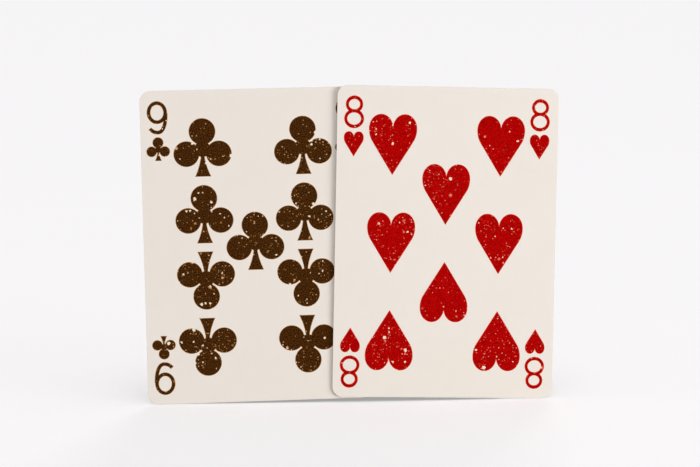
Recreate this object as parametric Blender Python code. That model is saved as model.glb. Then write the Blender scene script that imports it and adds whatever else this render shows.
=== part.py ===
"""A deck of playing cards, with two cards standing in front of it.

The deck stands squared up on its long edge, backs towards the viewer at -Y. Two cards lean back against its
top front edge, and the second one overlaps the first. Every card is a piece of its own. Metres, +Z up, with
the origin on the table at the middle of the part's box.
"""
import math
import random

import bmesh
import bpy
from mathutils import Vector

# One card, poker size
CARD_WIDTH = 0.0635
CARD_HEIGHT = 0.0889
CARD_THICKNESS = 0.0003
CORNER_RADIUS = 0.0030
CORNER_SEGMENTS = 6

# The squared deck: the air between neighbours, and how far a card may stick out endways
AIR_BETWEEN_CARDS = 0.00002
SQUARING_ERROR = 0.00025
SQUARING_SEED = 52
ON_LONG_EDGE = math.radians(90)
FACE_TO_REAR = math.radians(180)

# The two cards in front: how far they overlap, and the air where they touch what they lean on
FRONT_OVERLAP = 0.00945
LEAN_CLEARANCE = 0.00015

# Lean is the top going back, yaw the right end going back, roll a clockwise turn seen from the front
NINE_LEAN = math.radians(5.40)
NINE_YAW = math.radians(0.0)
NINE_ROLL = math.radians(-1.06)
EIGHT_LEAN = math.radians(5.07)
EIGHT_YAW = math.radians(1.21)
EIGHT_ROLL = math.radians(1.50)

# Names of the cards, the deck's order from its front card to its rear card
SUITS = ("hearts", "clubs", "diamonds", "spades")
RANKS = (
    "king", "queen", "jack", "ten", "nine", "eight", "seven", "six", "five", "four", "three", "two", "ace",
)
JOKERS = ("joker_red", "joker_black")
NINE = "nine_of_clubs"
EIGHT = "eight_of_hearts"

# Finishes: base colour in linear light, and roughness
STOCK_COLOUR = (0.823, 0.768, 0.701, 1.0)
STOCK_ROUGHNESS = 0.6
BACK_COLOUR = (0.045, 0.022, 0.012, 1.0)
BACK_ROUGHNESS = 0.5


def clear_scene():
    for old in list(bpy.data.objects):
        bpy.data.objects.remove(old)


def finish(name, colour, roughness):
    """A paper surface: one colour, no metal."""
    material = bpy.data.materials.new(name)
    material.use_nodes = True
    shader = material.node_tree.nodes["Principled BSDF"]
    shader.inputs["Base Color"].default_value = colour
    shader.inputs["Roughness"].default_value = roughness
    shader.inputs["Metallic"].default_value = 0.0
    return material


def card_mesh():
    """A flat plate with rounded corners. It stands on its short edge with its face towards -Y."""
    shape = bmesh.new()
    half_width = CARD_WIDTH / 2
    half_height = CARD_HEIGHT / 2
    face_y = -CARD_THICKNESS / 2
    corners = [
        shape.verts.new((across * half_width, face_y, up * half_height))
        for across, up in ((-1, -1), (1, -1), (1, 1), (-1, 1))
    ]
    shape.faces.new(corners)
    bmesh.ops.bevel(
        shape,
        geom=corners,
        offset=CORNER_RADIUS,
        offset_type="OFFSET",
        segments=CORNER_SEGMENTS,
        profile=0.5,
        affect="VERTICES",
    )
    pulled = bmesh.ops.extrude_face_region(shape, geom=shape.faces[:])
    back_points = [item for item in pulled["geom"] if isinstance(item, bmesh.types.BMVert)]
    bmesh.ops.translate(shape, verts=back_points, vec=(0, CARD_THICKNESS, 0))
    bmesh.ops.recalc_face_normals(shape, faces=shape.faces[:])
    mesh = bpy.data.meshes.new("card")
    shape.to_mesh(mesh)
    shape.free()
    mesh.materials.append(finish("card_stock", STOCK_COLOUR, STOCK_ROUGHNESS))
    mesh.materials.append(finish("printed_back", BACK_COLOUR, BACK_ROUGHNESS))
    back = max(mesh.polygons, key=lambda polygon: polygon.normal.y)
    back.material_index = 1
    return mesh


def add_card(name, mesh, frame, roll, lean, yaw):
    """One card, turned in its own plane, then leaned back, then turned about the vertical."""
    card = bpy.data.objects.new(name, mesh)
    bpy.context.collection.objects.link(card)
    card.parent = frame
    card.rotation_mode = "YXZ"
    card.rotation_euler = (-lean, roll, yaw)
    return card


def world_points(cards):
    bpy.context.view_layer.update()
    return [card.matrix_world @ vertex.co for card in cards for vertex in card.data.vertices]


def add_squared_deck(names, mesh, frame):
    """The cards on their long edges, one behind the other from y = 0, faces to the rear."""
    squaring = random.Random(SQUARING_SEED)
    pitch = CARD_THICKNESS + AIR_BETWEEN_CARDS
    deck = []
    for place, name in enumerate(names):
        card = add_card(name, mesh, frame, roll=ON_LONG_EDGE, lean=0.0, yaw=FACE_TO_REAR)
        endways = squaring.uniform(-SQUARING_ERROR, SQUARING_ERROR)
        card.location = (endways, CARD_THICKNESS / 2 + place * pitch, CARD_WIDTH / 2)
        deck.append(card)
    return deck


def stand_on_table(card):
    card.location.z -= min(point.z for point in world_points([card]))


def lean_against(card, supports):
    """Move a card straight back until its back face is a clearance away from what it leans on."""
    points = world_points(supports)
    back_point = card.matrix_world @ Vector((0, CARD_THICKNESS / 2, 0))
    backward = card.matrix_world.to_3x3() @ Vector((0, 1, 0))
    nearest = min((point - back_point).dot(backward) for point in points)
    card.location.y += (nearest - LEAN_CLEARANCE) / backward.y


def add_leaning_card(name, mesh, frame, side, roll, lean, yaw, supports):
    """A card on its short edge in front of the deck, on the left (-1) or the right (1)."""
    card = add_card(name, mesh, frame, roll, lean, yaw)
    card.location.x = side * (CARD_WIDTH - FRONT_OVERLAP) / 2
    stand_on_table(card)
    lean_against(card, supports)
    return card


def centre_on_table(frame, cards):
    points = world_points(cards)
    for axis in (0, 1):
        low = min(point[axis] for point in points)
        high = max(point[axis] for point in points)
        frame.location[axis] -= (low + high) / 2


clear_scene()
frame = bpy.data.objects.new("table_frame", None)
bpy.context.collection.objects.link(frame)
plate = card_mesh()

deck_names = list(JOKERS) + [f"{rank}_of_{suit}" for suit in SUITS for rank in RANKS]
deck_names.remove(NINE)
deck_names.remove(EIGHT)
deck = add_squared_deck(deck_names, plate, frame)
front_card = deck[0]

nine = add_leaning_card(NINE, plate, frame, -1, NINE_ROLL, NINE_LEAN, NINE_YAW, [front_card])
eight = add_leaning_card(EIGHT, plate, frame, 1, EIGHT_ROLL, EIGHT_LEAN, EIGHT_YAW, [front_card, nine])
centre_on_table(frame, deck + [nine, eight])
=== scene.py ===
"""A deck of playing cards on a pale floor: the squared deck on its long edge, and two cards leaning on it.

Every card is one closed piece, a thin plate with its print cut into the face, so that ink and paper each
have a material of their own. Sizes of the cards and of their outlines are in millimetres, and everything
else is in metres.
"""
import math

import bpy
import numpy as np
from mathutils import Matrix, Vector
from mathutils.geometry import delaunay_2d_cdt


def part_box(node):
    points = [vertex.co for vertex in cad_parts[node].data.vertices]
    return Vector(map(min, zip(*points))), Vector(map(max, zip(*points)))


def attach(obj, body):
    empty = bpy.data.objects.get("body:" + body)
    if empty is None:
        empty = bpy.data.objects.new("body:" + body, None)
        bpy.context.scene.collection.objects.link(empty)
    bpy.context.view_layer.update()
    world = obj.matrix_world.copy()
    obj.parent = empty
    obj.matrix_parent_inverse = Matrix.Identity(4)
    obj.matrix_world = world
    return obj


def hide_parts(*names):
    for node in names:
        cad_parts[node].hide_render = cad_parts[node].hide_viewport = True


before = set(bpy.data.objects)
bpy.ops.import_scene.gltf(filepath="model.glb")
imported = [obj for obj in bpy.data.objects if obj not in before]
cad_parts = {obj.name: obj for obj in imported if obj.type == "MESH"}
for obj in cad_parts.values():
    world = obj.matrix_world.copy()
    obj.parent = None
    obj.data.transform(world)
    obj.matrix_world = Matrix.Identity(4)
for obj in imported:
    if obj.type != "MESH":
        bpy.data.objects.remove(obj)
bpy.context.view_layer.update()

# Card blank
# Every card is die-cut from one board, two sheets of uncoated paper glued back to back, 0.3 mm thick.
# The die rounds the corners and rolls the cut edge over a little, so that the deck shows fine lines.
MM = 0.001
CORNER_RADIUS = 3.0
CORNER_STEPS = 10
ROLLED_EDGE = 0.05
squared_low, squared_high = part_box("ace_of_spades")
CARD_HEIGHT, CARD_THICKNESS, CARD_WIDTH = (squared_high - squared_low) / MM


def arc(centre, across, up, start, end, steps):
    """Points along an ellipse, from one angle to another in degrees."""
    angles = np.radians(np.linspace(start, end, steps + 1))
    return [(centre[0] + across * math.cos(a), centre[1] + up * math.sin(a)) for a in angles]


def card_outline(inset):
    """The die's outline, anticlockwise, drawn in by a little."""
    radius = CORNER_RADIUS - inset
    x = CARD_WIDTH / 2 - CORNER_RADIUS
    y = CARD_HEIGHT / 2 - CORNER_RADIUS
    outline = []
    for corner, start in (((x, y), 0), ((-x, y), 90), ((-x, -y), 180), ((x, -y), 270)):
        outline += arc(corner, radius, radius, start, start + 90, CORNER_STEPS)
    return outline


def colour(hex_code):
    """Linear RGBA of an sRGB hex colour."""
    levels = [int(hex_code[at:at + 2], 16) / 255 for at in (1, 3, 5)]
    linear = [v / 12.92 if v <= 0.04045 else ((v + 0.055) / 1.055) ** 2.4 for v in levels]
    return (*linear, 1.0)


def new_material(name):
    """A material with an empty node tree."""
    material = bpy.data.materials.new(name)
    material.use_nodes = True
    material.node_tree.nodes.clear()
    return material


def add_node(material, kind, inputs, **settings):
    """Adds a node with its settings, and sets or links its inputs."""
    tree = material.node_tree
    node = tree.nodes.new(kind)
    for name, value in settings.items():
        setattr(node, name, value)
    for name, value in inputs.items():
        if isinstance(value, bpy.types.NodeSocket):
            tree.links.new(value, node.inputs[name])
        else:
            node.inputs[name].default_value = value
    return node


# Paper
# Uncoated and linen-embossed on both sides: matt cream, faintly clouded by its fibres, with a fine woven
# tooth. The real threads are 0.4 mm apart, and are drawn 0.8 mm apart to show at all.
PAPER = "#E9E1D7"
PAPER_CLOUD = "#ECE5DC"
CLOUD_SIZE = 14 * MM
PAPER_ROUGHNESS = (0.78, 0.90)
PAPER_SPECULAR = 0.15
LINEN_PITCH = 0.8 * MM
LINEN_DEPTH = 0.006 * MM
THREAD_WOBBLE = {"Distortion": 1.5, "Detail Scale": 0.5}
# A wave texture of scale 1 repeats every pi / 10 metres
WAVE_STEP = math.pi / 10
# Where a mix node takes its two colours, and where it gives the mixed one
MIX_FROM, MIX_TO, MIXED = 6, 7, 2


def linen_tooth(material, card_point):
    """The weave that rollers press into both sides of the printed board, as the surface's normal."""
    threads = [
        add_node(
            material,
            "ShaderNodeTexWave",
            {"Vector": card_point, "Scale": WAVE_STEP / LINEN_PITCH, **THREAD_WOBBLE},
            bands_direction=direction,
        ).outputs["Fac"]
        for direction in ("X", "Z")
    ]
    weave = add_node(material, "ShaderNodeMath", {0: threads[0], 1: threads[1]}, operation="MAXIMUM")
    tooth = add_node(material, "ShaderNodeBump", {"Height": weave.outputs[0], "Distance": LINEN_DEPTH})
    return tooth.outputs[0]


paper = new_material("linen_paper")
card_point = add_node(paper, "ShaderNodeTexCoord", {}).outputs["Object"]
cloud = add_node(
    paper,
    "ShaderNodeTexNoise",
    {"Vector": card_point, "Scale": 1 / CLOUD_SIZE, "Detail": 4},
)
tint = add_node(
    paper,
    "ShaderNodeMix",
    {"Factor": cloud.outputs["Fac"], MIX_FROM: colour(PAPER), MIX_TO: colour(PAPER_CLOUD)},
    data_type="RGBA",
)
matt = add_node(
    paper,
    "ShaderNodeMapRange",
    {"Value": cloud.outputs["Fac"], "To Min": PAPER_ROUGHNESS[0], "To Max": PAPER_ROUGHNESS[1]},
)
surface = add_node(
    paper,
    "ShaderNodeBsdfPrincipled",
    {
        "Base Color": tint.outputs[MIXED],
        "Roughness": matt.outputs[0],
        "Specular IOR Level": PAPER_SPECULAR,
        "Normal": linen_tooth(paper, card_point),
    },
)
add_node(paper, "ShaderNodeOutputMaterial", {"Surface": surface.outputs[0]})

# Cut edge
# The bare ends of the board's fibres, matt and fuzzy, darker on the cards that were handled most. The thin
# line of glue between the two sheets is drawn twice as thick as it is, to show at all.
CUT_FIBRE = "#EBE3D8"
CUT_FIBRE_DARK = "#C0B29D"
CUT_ROUGHNESS = 0.9
FIBRE_SIZE = 0.5 * MM
FUZZ_DEPTH = 0.01 * MM
GLUE = "#A09484"
GLUE_HALF = 0.02 * MM
GLUE_BLUR = 0.01 * MM
cut_board = new_material("cut_board")
card_point = add_node(cut_board, "ShaderNodeTexCoord", {}).outputs["Object"]
fibre = add_node(
    cut_board,
    "ShaderNodeTexNoise",
    {"Vector": card_point, "Scale": 1 / FIBRE_SIZE, "Detail": 3},
)
handled = add_node(cut_board, "ShaderNodeObjectInfo", {}).outputs["Random"]
shade = add_node(
    cut_board,
    "ShaderNodeMath",
    {0: fibre.outputs["Fac"], 1: handled},
    operation="MULTIPLY",
)
fibre_tint = add_node(
    cut_board,
    "ShaderNodeMix",
    {"Factor": shade.outputs[0], MIX_FROM: colour(CUT_FIBRE), MIX_TO: colour(CUT_FIBRE_DARK)},
    data_type="RGBA",
)
card_axes = add_node(cut_board, "ShaderNodeSeparateXYZ", {0: card_point})
depth = add_node(cut_board, "ShaderNodeMath", {0: card_axes.outputs["Y"]}, operation="ABSOLUTE")
glue_line = add_node(
    cut_board,
    "ShaderNodeMapRange",
    {
        "Value": depth.outputs[0],
        "From Min": GLUE_HALF - GLUE_BLUR,
        "From Max": GLUE_HALF + GLUE_BLUR,
        "To Min": 1,
        "To Max": 0,
    },
)
layers = add_node(
    cut_board,
    "ShaderNodeMix",
    {"Factor": glue_line.outputs[0], MIX_FROM: fibre_tint.outputs[MIXED], MIX_TO: colour(GLUE)},
    data_type="RGBA",
)
fuzz = add_node(
    cut_board,
    "ShaderNodeBump",
    {"Height": fibre.outputs["Fac"], "Distance": FUZZ_DEPTH},
)
surface = add_node(
    cut_board,
    "ShaderNodeBsdfPrincipled",
    {
        "Base Color": layers.outputs[MIXED],
        "Roughness": CUT_ROUGHNESS,
        "Specular IOR Level": PAPER_SPECULAR,
        "Normal": fuzz.outputs[0],
    },
)
add_node(cut_board, "ShaderNodeOutputMaterial", {"Surface": surface.outputs[0]})

# Back print
# Each back has a bare paper border round a panel of dark brown ink, with a plain diamond lattice, a dot in
# each diamond and a rule round them in a lighter brown. It reads the same whichever end is up. The ink is
# matt, clouded where hands have rubbed it, and takes the weave of the paper.
BACK_GROUND = "#2E1A0D"
BACK_GROUND_WORN = "#3C2413"
BACK_LINE = "#A08462"
BACK_BORDER = 3.5 * MM
BACK_RULE = 4.6 * MM
BACK_PANEL = 5.4 * MM
RULE_HALF = 0.25 * MM
LATTICE_PITCH = 2.6 * MM
LATTICE_SLANT = math.radians(34)
SCUFF_SIZE = 9 * MM
BACK_ROUGHNESS = (0.60, 0.85)
# The height of the two waves, from 0 to 1, at the soft edge of a line and of a dot
LINE_EDGE = (0.95, 0.985)
DOT_EDGE = (0.07, 0.12)
back_print = new_material("letterpress_back")
card_point = add_node(back_print, "ShaderNodeTexCoord", {}).outputs["Object"]
bands = []
for slant in (LATTICE_SLANT, -LATTICE_SLANT):
    turned = add_node(back_print, "ShaderNodeMapping", {"Vector": card_point, "Rotation": (0, slant, 0)})
    bands.append(
        add_node(
            back_print,
            "ShaderNodeTexWave",
            {"Vector": turned.outputs[0], "Scale": WAVE_STEP / LATTICE_PITCH},
            bands_direction="X",
        ).outputs["Fac"]
    )
crest = add_node(back_print, "ShaderNodeMath", {0: bands[0], 1: bands[1]}, operation="MAXIMUM")
line = add_node(
    back_print,
    "ShaderNodeMapRange",
    {"Value": crest.outputs[0], "From Min": LINE_EDGE[0], "From Max": LINE_EDGE[1]},
)
dot = add_node(
    back_print,
    "ShaderNodeMapRange",
    {
        "Value": crest.outputs[0],
        "From Min": DOT_EDGE[0],
        "From Max": DOT_EDGE[1],
        "To Min": 1,
        "To Max": 0,
    },
)
lattice = add_node(
    back_print,
    "ShaderNodeMath",
    {0: line.outputs[0], 1: dot.outputs[0]},
    operation="MAXIMUM",
)
card_axes = add_node(back_print, "ShaderNodeSeparateXYZ", {0: card_point})
insets = []
for axis, size in (("X", CARD_WIDTH), ("Z", CARD_HEIGHT)):
    away = add_node(back_print, "ShaderNodeMath", {0: card_axes.outputs[axis]}, operation="ABSOLUTE")
    insets.append(
        add_node(
            back_print,
            "ShaderNodeMath",
            {0: size / 2 * MM, 1: away.outputs[0]},
            operation="SUBTRACT",
        ).outputs[0]
    )
inset = add_node(
    back_print,
    "ShaderNodeMath",
    {0: insets[0], 1: insets[1]},
    operation="MINIMUM",
).outputs[0]
border = add_node(back_print, "ShaderNodeMath", {0: inset, 1: BACK_BORDER}, operation="LESS_THAN")
inside = add_node(back_print, "ShaderNodeMath", {0: inset, 1: BACK_PANEL}, operation="GREATER_THAN")
on_rule = add_node(
    back_print,
    "ShaderNodeMath",
    {0: inset, 1: BACK_RULE, 2: RULE_HALF},
    operation="COMPARE",
)
panel = add_node(
    back_print,
    "ShaderNodeMath",
    {0: lattice.outputs[0], 1: inside.outputs[0]},
    operation="MULTIPLY",
)
pattern = add_node(
    back_print,
    "ShaderNodeMath",
    {0: panel.outputs[0], 1: on_rule.outputs[0]},
    operation="MAXIMUM",
)
scuff = add_node(
    back_print,
    "ShaderNodeTexNoise",
    {"Vector": card_point, "Scale": 1 / SCUFF_SIZE, "Detail": 6},
)
ground = add_node(
    back_print,
    "ShaderNodeMix",
    {"Factor": scuff.outputs["Fac"], MIX_FROM: colour(BACK_GROUND), MIX_TO: colour(BACK_GROUND_WORN)},
    data_type="RGBA",
)
printed = add_node(
    back_print,
    "ShaderNodeMix",
    {"Factor": pattern.outputs[0], MIX_FROM: ground.outputs[MIXED], MIX_TO: colour(BACK_LINE)},
    data_type="RGBA",
)
bordered = add_node(
    back_print,
    "ShaderNodeMix",
    {"Factor": border.outputs[0], MIX_FROM: printed.outputs[MIXED], MIX_TO: colour(PAPER)},
    data_type="RGBA",
)
sheen = add_node(
    back_print,
    "ShaderNodeMapRange",
    {"Value": scuff.outputs["Fac"], "To Min": BACK_ROUGHNESS[0], "To Max": BACK_ROUGHNESS[1]},
)
surface = add_node(
    back_print,
    "ShaderNodeBsdfPrincipled",
    {
        "Base Color": bordered.outputs[MIXED],
        "Roughness": sheen.outputs[0],
        "Specular IOR Level": PAPER_SPECULAR,
        "Normal": linen_tooth(back_print, card_point),
    },
)
add_node(back_print, "ShaderNodeOutputMaterial", {"Surface": surface.outputs[0]})

# Face inks
# The faces are printed from a worn letterpress block, in brown-black for clubs and spades and in red for
# hearts and diamonds. The ink is matt and a little grainy, and misses the paper in specks and pinholes.
# The press squeezes a film of it a little past the edge of each mark, too thin to hide the paper.
GRAIN_SIZE = 0.3 * MM
GRAIN_EDGE = (0.38, 0.62)
INK_ROUGHNESS = (0.65, 0.85)
INK_SPECULAR = 0.02
RAGGED_SIZE = 0.25 * MM
RAGGED_REACH = 0.5 * MM
SPECK_RIM = 0.07 * MM
THIN_AT = 0.72
WORN_EDGE = (0.40, 0.62)
WORN_SHARE = (0.05, 2.1)
MOSTLY_SMALL = 3.0
# Specks, then pinholes: the size of the worn patches, the spacing, the share missed, radii and bareness
SPECK_LAYERS = (
    {"patch": 5 * MM, "spacing": 1.2 * MM, "share": 0.17, "radii": (0.10 * MM, 0.50 * MM), "clear": 1.7},
    {"patch": 7 * MM, "spacing": 0.5 * MM, "share": 0.17, "radii": (0.08 * MM, 0.16 * MM), "clear": 0.9},
)


def bare_specks(ink, wear, spot, ragged, patch, spacing, share, radii, clear):
    """How bare the paper lies in one layer of ragged specks, which crowd together in worn patches."""
    worn = add_node(ink, "ShaderNodeTexNoise", {"Vector": spot, "Scale": 1 / patch, "Detail": 2})
    limit = add_node(
        ink,
        "ShaderNodeMapRange",
        {
            "Value": worn.outputs["Fac"],
            "From Min": WORN_EDGE[0],
            "From Max": WORN_EDGE[1],
            "To Min": WORN_SHARE[0] * wear * share,
            "To Max": WORN_SHARE[1] * wear * share,
        },
    )
    cells = add_node(
        ink,
        "ShaderNodeTexVoronoi",
        {"Vector": spot, "Scale": 1 / spacing},
        voronoi_dimensions="2D",
    )
    draw = add_node(ink, "ShaderNodeSeparateColor", {0: cells.outputs["Color"]})
    bareness = add_node(
        ink,
        "ShaderNodeMapRange",
        {"Value": draw.outputs["Red"], "From Max": limit.outputs[0], "To Min": clear, "To Max": 0},
        interpolation_type="SMOOTHSTEP",
    )
    size = add_node(
        ink,
        "ShaderNodeMath",
        {0: draw.outputs["Green"], 1: MOSTLY_SMALL},
        operation="POWER",
    )
    reach = add_node(
        ink,
        "ShaderNodeMapRange",
        {"Value": size.outputs[0], "To Min": radii[0] / spacing, "To Max": radii[1] / spacing},
    )
    wobble = add_node(
        ink,
        "ShaderNodeMath",
        {0: ragged, 1: RAGGED_REACH / spacing, 2: cells.outputs["Distance"]},
        operation="MULTIPLY_ADD",
    )
    past_rim = add_node(
        ink,
        "ShaderNodeMath",
        {0: wobble.outputs[0], 1: reach.outputs[0]},
        operation="SUBTRACT",
    )
    rim = RAGGED_REACH / 2 / spacing
    cover = add_node(
        ink,
        "ShaderNodeMapRange",
        {
            "Value": past_rim.outputs[0],
            "From Min": rim - SPECK_RIM / spacing,
            "From Max": rim + SPECK_RIM / spacing,
            "To Min": 1,
            "To Max": 0,
        },
    )
    return add_node(
        ink,
        "ShaderNodeMath",
        {0: cover.outputs[0], 1: bareness.outputs[0]},
        operation="MULTIPLY",
        use_clamp=True,
    ).outputs[0]


def letterpress_ink(name, wear, full, grainy, thin, bare):
    """Matt ink of one colour, a little grainy, thin in pinholes and bare in specks."""
    ink = new_material(name)
    card_point = add_node(ink, "ShaderNodeTexCoord", {}).outputs["Object"]
    # The face is laid flat for the specks, and each card has its print worn in places of its own
    own_place = add_node(ink, "ShaderNodeObjectInfo", {}).outputs["Random"]
    spot = add_node(
        ink,
        "ShaderNodeMapping",
        {"Vector": card_point, "Location": own_place, "Rotation": (math.radians(90), 0, 0)},
    ).outputs[0]
    ragged = add_node(ink, "ShaderNodeTexNoise", {"Vector": spot, "Scale": 1 / RAGGED_SIZE, "Detail": 0})
    specks, pinholes = (
        bare_specks(ink, wear, spot, ragged.outputs["Fac"], **layer) for layer in SPECK_LAYERS
    )
    grain = add_node(ink, "ShaderNodeTexNoise", {"Vector": spot, "Scale": 1 / GRAIN_SIZE, "Detail": 1})
    thinness = add_node(
        ink,
        "ShaderNodeMapRange",
        {"Value": grain.outputs["Fac"], "From Min": GRAIN_EDGE[0], "From Max": GRAIN_EDGE[1]},
    ).outputs[0]
    film = add_node(
        ink,
        "ShaderNodeMix",
        {"Factor": thinness, MIX_FROM: colour(full), MIX_TO: colour(grainy)},
        data_type="RGBA",
    ).outputs[MIXED]
    cover = add_node(ink, "ShaderNodeMath", {0: specks, 1: pinholes}, operation="MAXIMUM").outputs[0]
    for start, end, showing in ((0, THIN_AT, thin), (THIN_AT, 1, bare)):
        share = add_node(ink, "ShaderNodeMapRange", {"Value": cover, "From Min": start, "From Max": end})
        film = add_node(
            ink,
            "ShaderNodeMix",
            {"Factor": share.outputs[0], MIX_FROM: film, MIX_TO: colour(showing)},
            data_type="RGBA",
        ).outputs[MIXED]
    matt = add_node(
        ink,
        "ShaderNodeMapRange",
        {"Value": thinness, "To Min": INK_ROUGHNESS[0], "To Max": INK_ROUGHNESS[1]},
    )
    surface = add_node(
        ink,
        "ShaderNodeBsdfPrincipled",
        {
            "Base Color": film,
            "Roughness": matt.outputs[0],
            "Specular IOR Level": INK_SPECULAR,
            "Normal": linen_tooth(ink, card_point),
        },
    )
    add_node(ink, "ShaderNodeOutputMaterial", {"Surface": surface.outputs[0]})
    return ink


BROWN_WEAR = 1.0
RED_WEAR = 0.7
brown_inks = (
    letterpress_ink(
        "brown_letterpress_ink",
        BROWN_WEAR,
        full="#200C00",
        grainy="#563210",
        thin="#BE864A",
        bare="#F0DFC6",
    ),
    letterpress_ink(
        "brown_ink_squeeze",
        BROWN_WEAR,
        full="#AE753A",
        grainy="#CB9A62",
        thin="#DDBB90",
        bare="#F0DFC6",
    ),
)
red_inks = (
    letterpress_ink(
        "red_letterpress_ink",
        RED_WEAR,
        full="#900000",
        grainy="#BE0504",
        thin="#EC7C5E",
        bare="#F4DEC8",
    ),
    letterpress_ink(
        "red_ink_squeeze",
        RED_WEAR,
        full="#E4684C",
        grainy="#F08E72",
        thin="#F2B8A0",
        bare="#F4DEC8",
    ),
)
SUIT_INKS = {"hearts": red_inks, "clubs": brown_inks, "diamonds": red_inks, "spades": brown_inks}

# Suit marks
# The four suits of the printing block, each drawn about the middle of its own box. A mark is a pair of
# lists, the closed outlines that are inked and the outlines of the holes in them.
HEART_HALF = 3.40
HEART_LOBE = (3.46, 4.09)
HEART_FLANK = 5.28
HEART_HEIGHT = 17.25
HEART_SHOULDER = -43.4
LOBE_STEPS = 16
FLANK_STEPS = 8
CLUB_TOP_RADIUS = 3.74
CLUB_SIDE_RADIUS = 3.60
CLUB_SIDE_PLACE = (4.58, -6.28)
CLUB_MIDDLE_RADIUS = 2.27
CLUB_MIDDLE = (0.0, -4.93)
CLUB_NECK = 6.2
CLUB_FOOT = 12.70
STEM_HALF_TOP = 0.465
STEM_HALF_FOOT = 2.21
STEM_FLARE = 1.75
STEM_POINTS = 10
DIAMOND_HALF = (6.6, 8.9)
DIAMOND_PINCH = 0.88
DIAMOND_STEPS = 8
SPADE_SQUASH = 0.80
SPADE_NECK = 3.0
RING_POINTS = 36
ON_AXIS = 0.001


def ring(centre, across, up, start=0):
    """A closed ellipse, whose first point lies at some angle in degrees."""
    return arc(centre, across, up, start, start + 360 - 360 / RING_POINTS, RING_POINTS - 1)


def mirrored(points):
    """An open run of points on the right, closed by its mirror image on the left."""
    return points + [(-x, y) for x, y in reversed(points) if x > ON_AXIS]


def flared_stem(top, foot):
    """The stem of a club or spade, which widens in a curve down to a flat foot."""
    steps = np.linspace(0, 1, STEM_POINTS)
    spread = STEM_HALF_FOOT - STEM_HALF_TOP
    return mirrored([(STEM_HALF_TOP + spread * t ** STEM_FLARE, top + (foot - top) * t) for t in steps])


def moved(mark, across=0.0, up=0.0, scale=1.0, inverted=False):
    """A mark printed somewhere on the card, at some scale, upright or the other way up."""
    turn = -scale if inverted else scale
    return tuple(
        [[(across + turn * x, up + turn * y) for x, y in outline] for outline in outlines]
        for outlines in mark
    )


lobe_top = HEART_HEIGHT / 2 - HEART_LOBE[1]
cleft = math.degrees(math.acos(-HEART_HALF / HEART_LOBE[0]))
heart_lobe = arc((HEART_HALF, lobe_top), *HEART_LOBE, cleft, 0, LOBE_STEPS)
heart_flank = arc((HEART_HALF, lobe_top), HEART_LOBE[0], HEART_FLANK, 0, HEART_SHOULDER, FLANK_STEPS)
heart_tip = (0.0, -HEART_HEIGHT / 2)
heart = ([mirrored(heart_lobe + heart_flank[1:] + [heart_tip])], [])

# The club's circles start at unlike angles, so that no two of their points fall together
club_lift = (CLUB_FOOT - CLUB_TOP_RADIUS) / 2
club_left_place = (-CLUB_SIDE_PLACE[0], CLUB_SIDE_PLACE[1])
club_outlines = [
    ring((0, 0), CLUB_TOP_RADIUS, CLUB_TOP_RADIUS),
    ring(CLUB_SIDE_PLACE, CLUB_SIDE_RADIUS, CLUB_SIDE_RADIUS),
    ring(club_left_place, CLUB_SIDE_RADIUS, CLUB_SIDE_RADIUS, start=5),
    ring(CLUB_MIDDLE, CLUB_MIDDLE_RADIUS, CLUB_MIDDLE_RADIUS, start=3),
    flared_stem(-CLUB_NECK, -CLUB_FOOT),
]
club = moved((club_outlines, []), up=club_lift)

pinch_at = DIAMOND_PINCH / 2
diamond_sides = []
for across, up in ((1, 1), (-1, 1), (-1, -1), (1, -1)):
    start = (across, 0) if across * up > 0 else (0, up)
    end = (0, up) if across * up > 0 else (across, 0)
    corners = (start, (across * pinch_at, up * pinch_at), end)
    for t in np.linspace(0, 1, DIAMOND_STEPS, endpoint=False):
        weights = ((1 - t) ** 2, 2 * t * (1 - t), t ** 2)
        x, y = (sum(w * c[axis] for w, c in zip(weights, corners)) for axis in (0, 1))
        diamond_sides.append((x * DIAMOND_HALF[0], y * DIAMOND_HALF[1]))
diamond = ([diamond_sides], [])

spade_body = [(x, -y * SPADE_SQUASH) for x, y in heart[0][0]]
spade_top = HEART_HEIGHT / 2 * SPADE_SQUASH
spade_foot = spade_top - CLUB_FOOT - CLUB_TOP_RADIUS
spade_stem = flared_stem(-SPADE_NECK, spade_foot)
spade = moved(([spade_body, spade_stem], []), up=-(spade_top + spade_foot) / 2)

SUIT_MARKS = {"hearts": heart, "clubs": club, "diamonds": diamond, "spades": spade}
SMALL_SCALES = {"hearts": 0.41, "clubs": 0.402, "diamonds": 0.405, "spades": 0.39}

# Corner figures
# The numerals and letters of the corners, printed with the suits in plain monoline type 9.3 mm high. Each
# is drawn about its middle, as rings and as pen strokes of even width with square ends.
FIGURE_HALF = 4.65
STROKE = 1.0
PEN_TOP = FIGURE_HALF - STROKE / 2
CURVE_STEPS = 10
TEN_NOUGHT = (1.2, 0.0)
TEN_NOUGHT_HALF = 2.2
QUEEN_HALF = 3.0
LEGS_OVERRUN = 1.0


def curve(*controls):
    """Points along a chain of cubic curves, each starting where the last one ends."""
    points = [controls[0]]
    for first in range(0, len(controls) - 1, 3):
        p = np.array(controls[first:first + 4])
        for t in np.linspace(0, 1, CURVE_STEPS + 1)[1:]:
            s = 1 - t
            weights = (s ** 3, 3 * s * s * t, 3 * s * t * t, t ** 3)
            points.append(tuple(sum(weight * control for weight, control in zip(weights, p))))
    return points


def stroke(line, width=STROKE):
    """The outline of a pen line, with mitred corners."""
    points = np.array(line, float)
    along = np.diff(points, axis=0)
    along /= np.linalg.norm(along, axis=1)[:, None]
    sides = np.stack((-along[:, 1], along[:, 0]), axis=1)
    mitres = sides[:-1] + sides[1:]
    mitres /= (mitres * sides[1:]).sum(axis=1)[:, None]
    offsets = np.vstack((sides[:1], mitres, sides[-1:])) * width / 2
    return [tuple(p) for p in (*(points + offsets), *(points - offsets)[::-1])]


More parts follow.
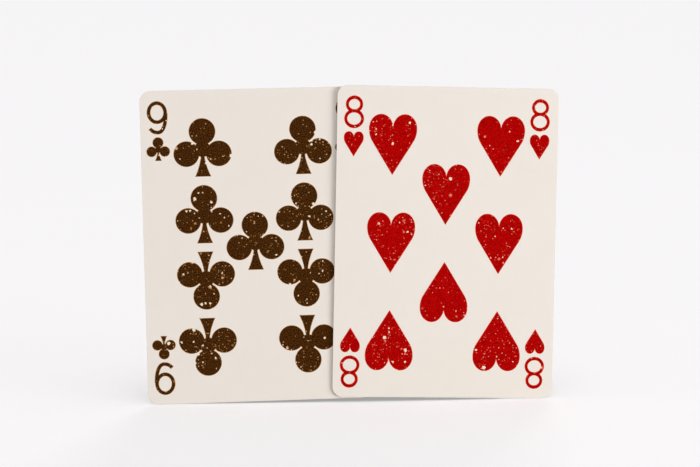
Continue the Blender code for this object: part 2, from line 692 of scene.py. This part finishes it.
nine_tail = curve(
    (2.39, 1.17), (2.39, -1.92), (1.59, -4.18), (0.10, -4.18),
    (-0.86, -4.18), (-1.64, -3.73), (-2.12, -3.06),
)
nine = ([ring((-0.06, 1.43), 2.83, 3.19), stroke(nine_tail)], [ring((-0.06, 1.43), 1.84, 2.20)])
eight = (
    [ring((0.04, 2.17), 2.45, 2.44), ring((0.0, -1.90), 2.81, 2.72)],
    [ring((0.04, 2.17), 1.60, 1.45), ring((0.0, -1.90), 1.97, 1.74)],
)
two_line = curve(
    (-2.34, 1.95), (-2.34, 3.5), (-1.3, PEN_TOP), (0.0, PEN_TOP),
    (1.4, PEN_TOP), (2.36, 3.4), (2.36, 1.95),
    (2.36, 0.2), (-0.3, -1.3), (-2.1, -PEN_TOP),
)
three_top = curve(
    (-2.15, 2.55), (-1.9, 3.6), (-1.1, PEN_TOP), (0.0, PEN_TOP),
    (1.35, PEN_TOP), (2.1, 3.4), (2.1, 2.35),
    (2.1, 1.2), (1.3, 0.45), (-0.6, 0.45),
)
three_foot = curve(
    (-0.6, 0.45), (1.6, 0.45), (2.4, -0.6), (2.4, -1.85),
    (2.4, -3.3), (1.4, -PEN_TOP), (-0.05, -PEN_TOP),
    (-1.3, -PEN_TOP), (-2.2, -3.5), (-2.4, -2.3),
)
four_hook = [(2.75, -1.85), (-2.3, -1.85), (1.15, 4.3)]
four_stem = [(1.15, FIGURE_HALF), (1.15, -FIGURE_HALF)]
five_bowl = curve(
    (-2.05, 0.25), (-1.5, 0.95), (-0.75, 1.25), (0.0, 1.25),
    (1.5, 1.25), (2.4, 0.1), (2.4, -1.45),
    (2.4, -3.1), (1.4, -PEN_TOP), (-0.05, -PEN_TOP),
    (-1.3, -PEN_TOP), (-2.15, -3.5), (-2.4, -2.4),
)
jack_hook = curve(
    (1.4, -1.6), (1.4, -3.3), (0.6, -PEN_TOP), (-0.4, -PEN_TOP),
    (-1.5, -PEN_TOP), (-2.2, -3.4), (-2.3, -2.1),
)
ace_sides = [(2.9, -FIGURE_HALF), (0.55, FIGURE_HALF), (-0.55, FIGURE_HALF), (-2.9, -FIGURE_HALF)]
ace_counter = [(1.04, -1.1), (0.0, 3.1), (-1.04, -1.1)]
legs_end = -FIGURE_HALF - LEGS_OVERRUN
ace_legs = [(2.18, legs_end), (1.27, -2.03), (-1.27, -2.03), (-2.18, legs_end)]
FIGURES = {
    "ace": ([ace_sides], [ace_counter, ace_legs]),
    "two": ([stroke(two_line + [(2.5, -PEN_TOP)])], []),
    "three": ([stroke(three_top), stroke(three_foot)], []),
    "four": ([stroke(four_hook), stroke(four_stem)], []),
    "five": ([stroke([(2.2, PEN_TOP), (-1.65, PEN_TOP), (-2.0, 0.2)]), stroke(five_bowl)], []),
    "six": moved(nine, inverted=True),
    "seven": ([stroke([(-2.45, PEN_TOP), (2.2, PEN_TOP), (-0.8, -FIGURE_HALF)])], []),
    "eight": eight,
    "nine": nine,
    "ten": (
        [
            stroke([(-2.3, -FIGURE_HALF), (-2.3, FIGURE_HALF)]),
            stroke([(-3.55, 3.0), (-2.2, 4.2)]),
            ring(TEN_NOUGHT, TEN_NOUGHT_HALF, FIGURE_HALF),
        ],
        [ring(TEN_NOUGHT, TEN_NOUGHT_HALF - STROKE, FIGURE_HALF - STROKE)],
    ),
    "jack": ([stroke([(1.4, FIGURE_HALF)] + jack_hook)], []),
    "queen": (
        [ring((0, 0), QUEEN_HALF, FIGURE_HALF), stroke([(0.7, -2.2), (2.8, -5.0)])],
        [ring((0, 0), QUEEN_HALF - STROKE, FIGURE_HALF - STROKE)],
    ),
    "king": (
        [
            stroke([(-2.0, FIGURE_HALF), (-2.0, -FIGURE_HALF)]),
            stroke([(2.3, FIGURE_HALF), (-1.9, -0.4)]),
            stroke([(-0.7, 1.0), (2.5, -FIGURE_HALF)]),
        ],
        [],
    ),
}

# Number cards
# Two to ten of each suit, die-cut and printed with one pip for each point in the usual columns. The nine
# of clubs and the eight of hearts lean on the deck, and the others stand squared up behind them, faces to
# the rear. The print of every card lies a little off the middle, as the die cut it.
PRINT_SHIFT = (-0.24, -0.14)
PIP_FIELD = (22.38, 36.55)
CORNER_FIGURE = (26.68, 37.0)
CORNER_SUIT_TOP = 31.47
NINE_MIDDLE_LIFT = 0.053
SQUEEZE = 0.11
MERGE = 1e-5
INSIDE_ONLY = 1
PAPER_SLOT, SQUEEZE_SLOT, INK_SLOT, BACK_SLOT, EDGE_SLOT = range(5)
THIRD = 1 / 3
COLUMNS = {
    "two": ((0, 1), (0, -1)),
    "three": ((0, 1), (0, 0), (0, -1)),
    "four": ((-1, 1), (1, 1), (-1, -1), (1, -1)),
    "six": ((-1, 1), (1, 1), (-1, 0), (1, 0), (-1, -1), (1, -1)),
    "nine": (
        (-1, 1), (1, 1), (-1, THIRD), (1, THIRD), (0, NINE_MIDDLE_LIFT),
        (-1, -THIRD), (1, -THIRD), (-1, -1), (1, -1),
    ),
}
COLUMNS["five"] = COLUMNS["four"] + ((0, 0),)
COLUMNS["seven"] = COLUMNS["six"] + ((0, 0.5),)
COLUMNS["eight"] = COLUMNS["seven"] + ((0, -0.5),)
COLUMNS["ten"] = COLUMNS["nine"][:4] + COLUMNS["nine"][5:] + ((0, 2 * THIRD), (0, -2 * THIRD))


def half_size(mark):
    """Half the width and half the height of a mark."""
    points = np.array([point for outline in mark[0] for point in outline])
    return (points.max(axis=0) - points.min(axis=0)) / 2


def corner_marks(figure, small_suit):
    """The figure and the small suit at all four corners, the lower ones the other way up."""
    across, figure_up = CORNER_FIGURE
    suit_up = CORNER_SUIT_TOP - half_size(small_suit)[1]
    marks = []
    for side in (-1, 1):
        for end in (1, -1):
            marks.append(moved(figure, side * across, end * figure_up, inverted=end < 0))
            marks.append(moved(small_suit, side * across, end * suit_up, inverted=end < 0))
    return marks


def grown(outline, reach):
    """A closed outline, run anticlockwise and moved outwards, or inwards by a reach below zero."""
    points = np.array(outline)
    area = np.cross(points, np.roll(points, -1, axis=0)).sum()
    points = points if area > 0 else points[::-1]
    along = np.roll(points, -1, axis=0) - points
    along /= np.linalg.norm(along, axis=1)[:, None]
    sides = np.stack((along[:, 1], -along[:, 0]), axis=1)
    mitres = sides + np.roll(sides, 1, axis=0)
    mitres /= (mitres * sides).sum(axis=1)[:, None]
    return points + reach * mitres


def card_place(node):
    """Where the frame holds a card: its middle, and its axes across, behind and up the face."""
    points = np.unique([vertex.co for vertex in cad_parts[node].data.vertices], axis=0)
    middle = (points.min(axis=0) + points.max(axis=0)) / 2
    long_way, _, thin_way = np.linalg.svd(points - middle, full_matrices=False)[2]
    leaning = abs(long_way[2]) > abs(long_way[0])
    up_side = (0, 0, 1) if leaning else (-1, 0, 0)
    rear_side = (0, 1, 0) if leaning else (0, -1, 0)
    up = Vector(long_way) * math.copysign(1, np.dot(long_way, up_side))
    behind = Vector(thin_way) * math.copysign(1, np.dot(thin_way, rear_side))
    turn = Matrix((behind.cross(up), behind, up)).transposed()
    return Matrix.Translation(middle) @ turn.to_4x4()


def add_card(node, marks, inks):
    """A card: the face cut along its print, the rolled edge and the back, in one closed mesh."""
    # The outlines that cut the face: the rim, then each mark's inner ink and the film squeezed past it
    rim = card_outline(ROLLED_EDGE)
    outlines = [rim]
    owners = [None]
    for number, (inked, holes) in enumerate(marks):
        for slot, reach in ((INK_SLOT, -SQUEEZE / 2), (SQUEEZE_SLOT, SQUEEZE / 2)):
            outlines += [grown(outline, reach) for outline in inked]
            outlines += [grown(outline, -reach) for outline in holes]
            owners += [(slot, number, True)] * len(inked) + [(slot, number, False)] * len(holes)
    flat = [Vector(point) for point in rim]
    flat += [Vector(point) + Vector(PRINT_SHIFT) for outline in outlines[1:] for point in outline]
    starts = np.cumsum([0] + [len(outline) for outline in outlines])
    faces = [list(range(start, end)) for start, end in zip(starts[:-1], starts[1:])]
    points, _, triangles, sources, _, inside = delaunay_2d_cdt(flat, [], faces, INSIDE_ONLY, MERGE, True)

    # Rings of points round the edge, from the face's own rim to the back's
    face_y = -CARD_THICKNESS / 2
    rings = [[None] * len(rim)]
    for at, merged in enumerate(sources):
        for source in merged:
            if source < len(rim):
                rings[0][source] = at
    shape = [(x, face_y, z) for x, z in points]
    for inset, y in ((0, face_y + ROLLED_EDGE), (0, -face_y - ROLLED_EDGE), (ROLLED_EDGE, -face_y)):
        rings.append(list(range(len(shape), len(shape) + len(rim))))
        shape += [(x, y, z) for x, z in card_outline(inset)]

    # A triangle of the face takes ink or film where it lies in a mark and in no hole of that mark
    polygons = [list(triangle) for triangle in triangles]
    slots = []
    for within in inside:
        owned = [owners[face] for face in within if owners[face]]
        filled = {(slot, number) for slot, number, solid in owned if solid}
        holed = {(slot, number) for slot, number, solid in owned if not solid}
        slots.append(max((slot for slot, _ in filled - holed), default=PAPER_SLOT))
    for near, far in zip(rings[:-1], rings[1:]):
        for i in range(len(rim)):
            j = (i + 1) % len(rim)
            polygons.append([near[i], far[i], far[j], near[j]])
            slots.append(EDGE_SLOT)
    polygons.append(rings[-1][::-1])
    slots.append(BACK_SLOT)

    mesh = bpy.data.meshes.new(node + "_card")
    mesh.from_pydata([Vector(point) * MM for point in shape], [], polygons)
    ink, squeezed = inks
    for material in (paper, squeezed, ink, back_print, cut_board):
        mesh.materials.append(material)
    mesh.polygons.foreach_set("material_index", slots)
    card = bpy.data.objects.new(node + "_card", mesh)
    bpy.context.scene.collection.objects.link(card)
    card.matrix_world = card_place(node)
    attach(card, node)
    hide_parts(node)


for suit, mark in SUIT_MARKS.items():
    small_suit = moved(mark, scale=SMALL_SCALES[suit])
    edge_column, edge_row = np.array(PIP_FIELD) - half_size(mark)
    for rank, places in COLUMNS.items():
        marks = [
            moved(mark, across * edge_column, up * edge_row, inverted=up < 0) for across, up in places
        ]
        marks += corner_marks(FIGURES[rank], small_suit)
        add_card(f"{rank}_of_{suit}", marks, SUIT_INKS[suit])

# Aces
# One large pip in the middle of each ace, largest on the ace of spades, which is the deck's rear card.
# They are cut from the same board and printed in the same inks as the number cards.
ACE_SCALES = {"hearts": 1.5, "clubs": 1.5, "diamonds": 1.5, "spades": 2.3}
for suit, mark in SUIT_MARKS.items():
    small_suit = moved(mark, scale=SMALL_SCALES[suit])
    marks = [moved(mark, scale=ACE_SCALES[suit])] + corner_marks(FIGURES["ace"], small_suit)
    add_card(f"ace_of_{suit}", marks, SUIT_INKS[suit])

# Court cards
# Jack, queen and king carry no picture. A large letter stands in a panel of two ruled lines, printed with
# the suit in the panel's corners, the lower pair the other way up.
PANEL_HALF = (21.5, 37.0)
# The inset and the width of each ruled line
PANEL_RULES = ((0.0, 0.55), (1.3, 0.3))
COURT_LETTER_SCALE = 3.0
COURT_PIP_SCALE = 0.62
COURT_PIP_PLACE = (13.6, 27.5)


def ruled_panel(inset, width):
    """One ruled line round the panel."""
    corners = ((1, 1), (-1, 1), (-1, -1), (1, -1))
    outer, inner = (
        [(x * (PANEL_HALF[0] - reach), y * (PANEL_HALF[1] - reach)) for x, y in corners]
        for reach in (inset, inset + width)
    )
    return ([outer], [inner])


for suit, mark in SUIT_MARKS.items():
    small_suit = moved(mark, scale=SMALL_SCALES[suit])
    for rank in ("jack", "queen", "king"):
        marks = [ruled_panel(*rule) for rule in PANEL_RULES]
        marks.append(moved(FIGURES[rank], scale=COURT_LETTER_SCALE))
        for side in (-1, 1):
            for end in (1, -1):
                place = (side * COURT_PIP_PLACE[0], end * COURT_PIP_PLACE[1])
                marks.append(moved(mark, *place, scale=COURT_PIP_SCALE, inverted=end < 0))
        marks += corner_marks(FIGURES[rank], small_suit)
        add_card(f"{rank}_of_{suit}", marks, SUIT_INKS[suit])

# Jokers
# Two jokers of the same board, one printed in each ink. A large plain star in a ring takes the place of a
# picture, and a small star stands at each corner.
STAR_TIPS = 5
STAR_RADIUS = 15.0
STAR_WAIST = 0.382
STAR_RING = 20.0
STAR_RING_WIDTH = 0.8
SMALL_STAR_SCALE = 0.2


def star(radius):
    """A five-pointed star."""
    points = []
    for step in range(2 * STAR_TIPS):
        reach = radius if step % 2 == 0 else radius * STAR_WAIST
        angle = math.radians(90 + 180 / STAR_TIPS * step)
        points.append((reach * math.cos(angle), reach * math.sin(angle)))
    return ([points], [])


for node, inks in (("joker_red", red_inks), ("joker_black", brown_inks)):
    outer_ring = ring((0, 0), STAR_RING, STAR_RING)
    inner_ring = ring((0, 0), STAR_RING - STAR_RING_WIDTH, STAR_RING - STAR_RING_WIDTH)
    marks = [star(STAR_RADIUS), ([outer_ring], [inner_ring])]
    for side in (-1, 1):
        for end in (1, -1):
            place = (side * CORNER_FIGURE[0], end * CORNER_FIGURE[1])
            marks.append(moved(star(STAR_RADIUS), *place, scale=SMALL_STAR_SCALE, inverted=end < 0))
    add_card(node, marks, inks)

# Floor
# A wide sheet of seamless white studio paper, laid flat under the cards to show them standing. It is dead
# matt and very faintly clouded by its fibres, and the camera sees it a little brighter than it is lit.
FLOOR_HALF = 30.0
FLOOR_WHITE = "#E2E0E2"
FLOOR_CLOUD = "#E4E2E4"
FLOOR_CLOUD_SIZE = 60 * MM
FLOOR_ROUGHNESS = 1.0
FLOOR_SPECULAR = 0.0
FLOOR_GLOW = 0.296
WHITE = "#FFFFFF"
floor_mesh = bpy.data.meshes.new("floor")
floor_mesh.from_pydata(
    [(x * FLOOR_HALF, y * FLOOR_HALF, 0) for x, y in ((-1, -1), (1, -1), (1, 1), (-1, 1))],
    [],
    [(0, 1, 2, 3)],
)
studio_paper = new_material("seamless_studio_paper")
floor_point = add_node(studio_paper, "ShaderNodeTexCoord", {}).outputs["Object"]
cloud = add_node(
    studio_paper,
    "ShaderNodeTexNoise",
    {"Vector": floor_point, "Scale": 1 / FLOOR_CLOUD_SIZE, "Detail": 2},
)
tint = add_node(
    studio_paper,
    "ShaderNodeMix",
    {"Factor": cloud.outputs["Fac"], MIX_FROM: colour(FLOOR_WHITE), MIX_TO: colour(FLOOR_CLOUD)},
    data_type="RGBA",
)
seen = add_node(studio_paper, "ShaderNodeLightPath", {}).outputs["Is Camera Ray"]
glow = add_node(studio_paper, "ShaderNodeMath", {0: seen, 1: FLOOR_GLOW}, operation="MULTIPLY")
surface = add_node(
    studio_paper,
    "ShaderNodeBsdfPrincipled",
    {
        "Base Color": tint.outputs[MIXED],
        "Roughness": FLOOR_ROUGHNESS,
        "Specular IOR Level": FLOOR_SPECULAR,
        "Emission Color": colour(WHITE),
        "Emission Strength": glow.outputs[0],
    },
)
add_node(studio_paper, "ShaderNodeOutputMaterial", {"Surface": surface.outputs[0]})
floor_mesh.materials.append(studio_paper)
floor = bpy.data.objects.new("floor", floor_mesh)
bpy.context.scene.collection.objects.link(floor)

# Studio light
# A white tent all round, with broad soft lights high in front and low behind, and a low strip lamp on the
# right that draws the shadow where the cards overlap. The camera and reflections see the tent white.
TENT_LIGHT = 0.602
TENT_WHITE = 0.92
SEEING_RAYS = ("Is Glossy Ray", "Is Transmission Ray", "Is Camera Ray")
BROAD_LIGHTS = {
    "overhead_light": {"level": 0.14, "spread": math.radians(30), "place": (0, -0.40, 1)},
    "rear_light": {"level": 0.27, "spread": math.radians(26), "place": (0.25, 0.9, 0.3)},
}
STRIP_WATTS = 16.0
STRIP_SIZE = (0.8, 0.08)
STRIP_PLACE = (1.35, -0.88, 0.08)
world = bpy.data.worlds.new("light_tent")
world.use_nodes = True
world.node_tree.nodes.clear()
light_path = add_node(world, "ShaderNodeLightPath", {})
level = TENT_LIGHT
for ray in SEEING_RAYS:
    level = add_node(
        world,
        "ShaderNodeMapRange",
        {"Value": light_path.outputs[ray], "To Min": level, "To Max": TENT_WHITE},
    ).outputs[0]
tent = add_node(world, "ShaderNodeBackground", {"Color": colour(WHITE), "Strength": level})
add_node(world, "ShaderNodeOutputWorld", {"Surface": tent.outputs[0]})
bpy.context.scene.world = world
strip = bpy.data.lights.new("strip_lamp", "AREA")
strip.energy = STRIP_WATTS
strip.shape = "RECTANGLE"
strip.size, strip.size_y = STRIP_SIZE
lamps = [(strip, STRIP_PLACE)]
for name, settings in BROAD_LIGHTS.items():
    broad = bpy.data.lights.new(name, "SUN")
    broad.energy = settings["level"] * math.pi
    broad.angle = settings["spread"]
    lamps.append((broad, settings["place"]))
for lamp, place in lamps:
    lamp_object = bpy.data.objects.new(lamp.name, lamp)
    lamp_object.location = place
    lamp_object.rotation_euler = Vector(place).to_track_quat("Z", "Y").to_euler()
    lamp_object.visible_camera = False
    lamp_object.visible_glossy = False
    bpy.context.scene.collection.objects.link(lamp_object)
bpy.context.scene.view_settings.view_transform = "Standard"

# Camera
# A camera with a long lens, half a metre in front of the cards and a little to their left. It looks
# slightly down on them, so that only the two leaning cards and the floor are in view.
CAMERA_PLACE = (-0.03689, -0.55329, 0.12810)
CAMERA_DOWN = math.radians(8.326)
CAMERA_RIGHT = math.radians(3.814)
LENS = 100
SENSOR_WIDTH = 36
camera_data = bpy.data.cameras.new("camera")
camera_data.lens = LENS
camera_data.sensor_width = SENSOR_WIDTH
camera = bpy.data.objects.new("camera", camera_data)
camera.location = CAMERA_PLACE
camera.rotation_euler = (math.radians(90) - CAMERA_DOWN, 0, -CAMERA_RIGHT)
bpy.context.scene.collection.objects.link(camera)
bpy.context.scene.camera = camera
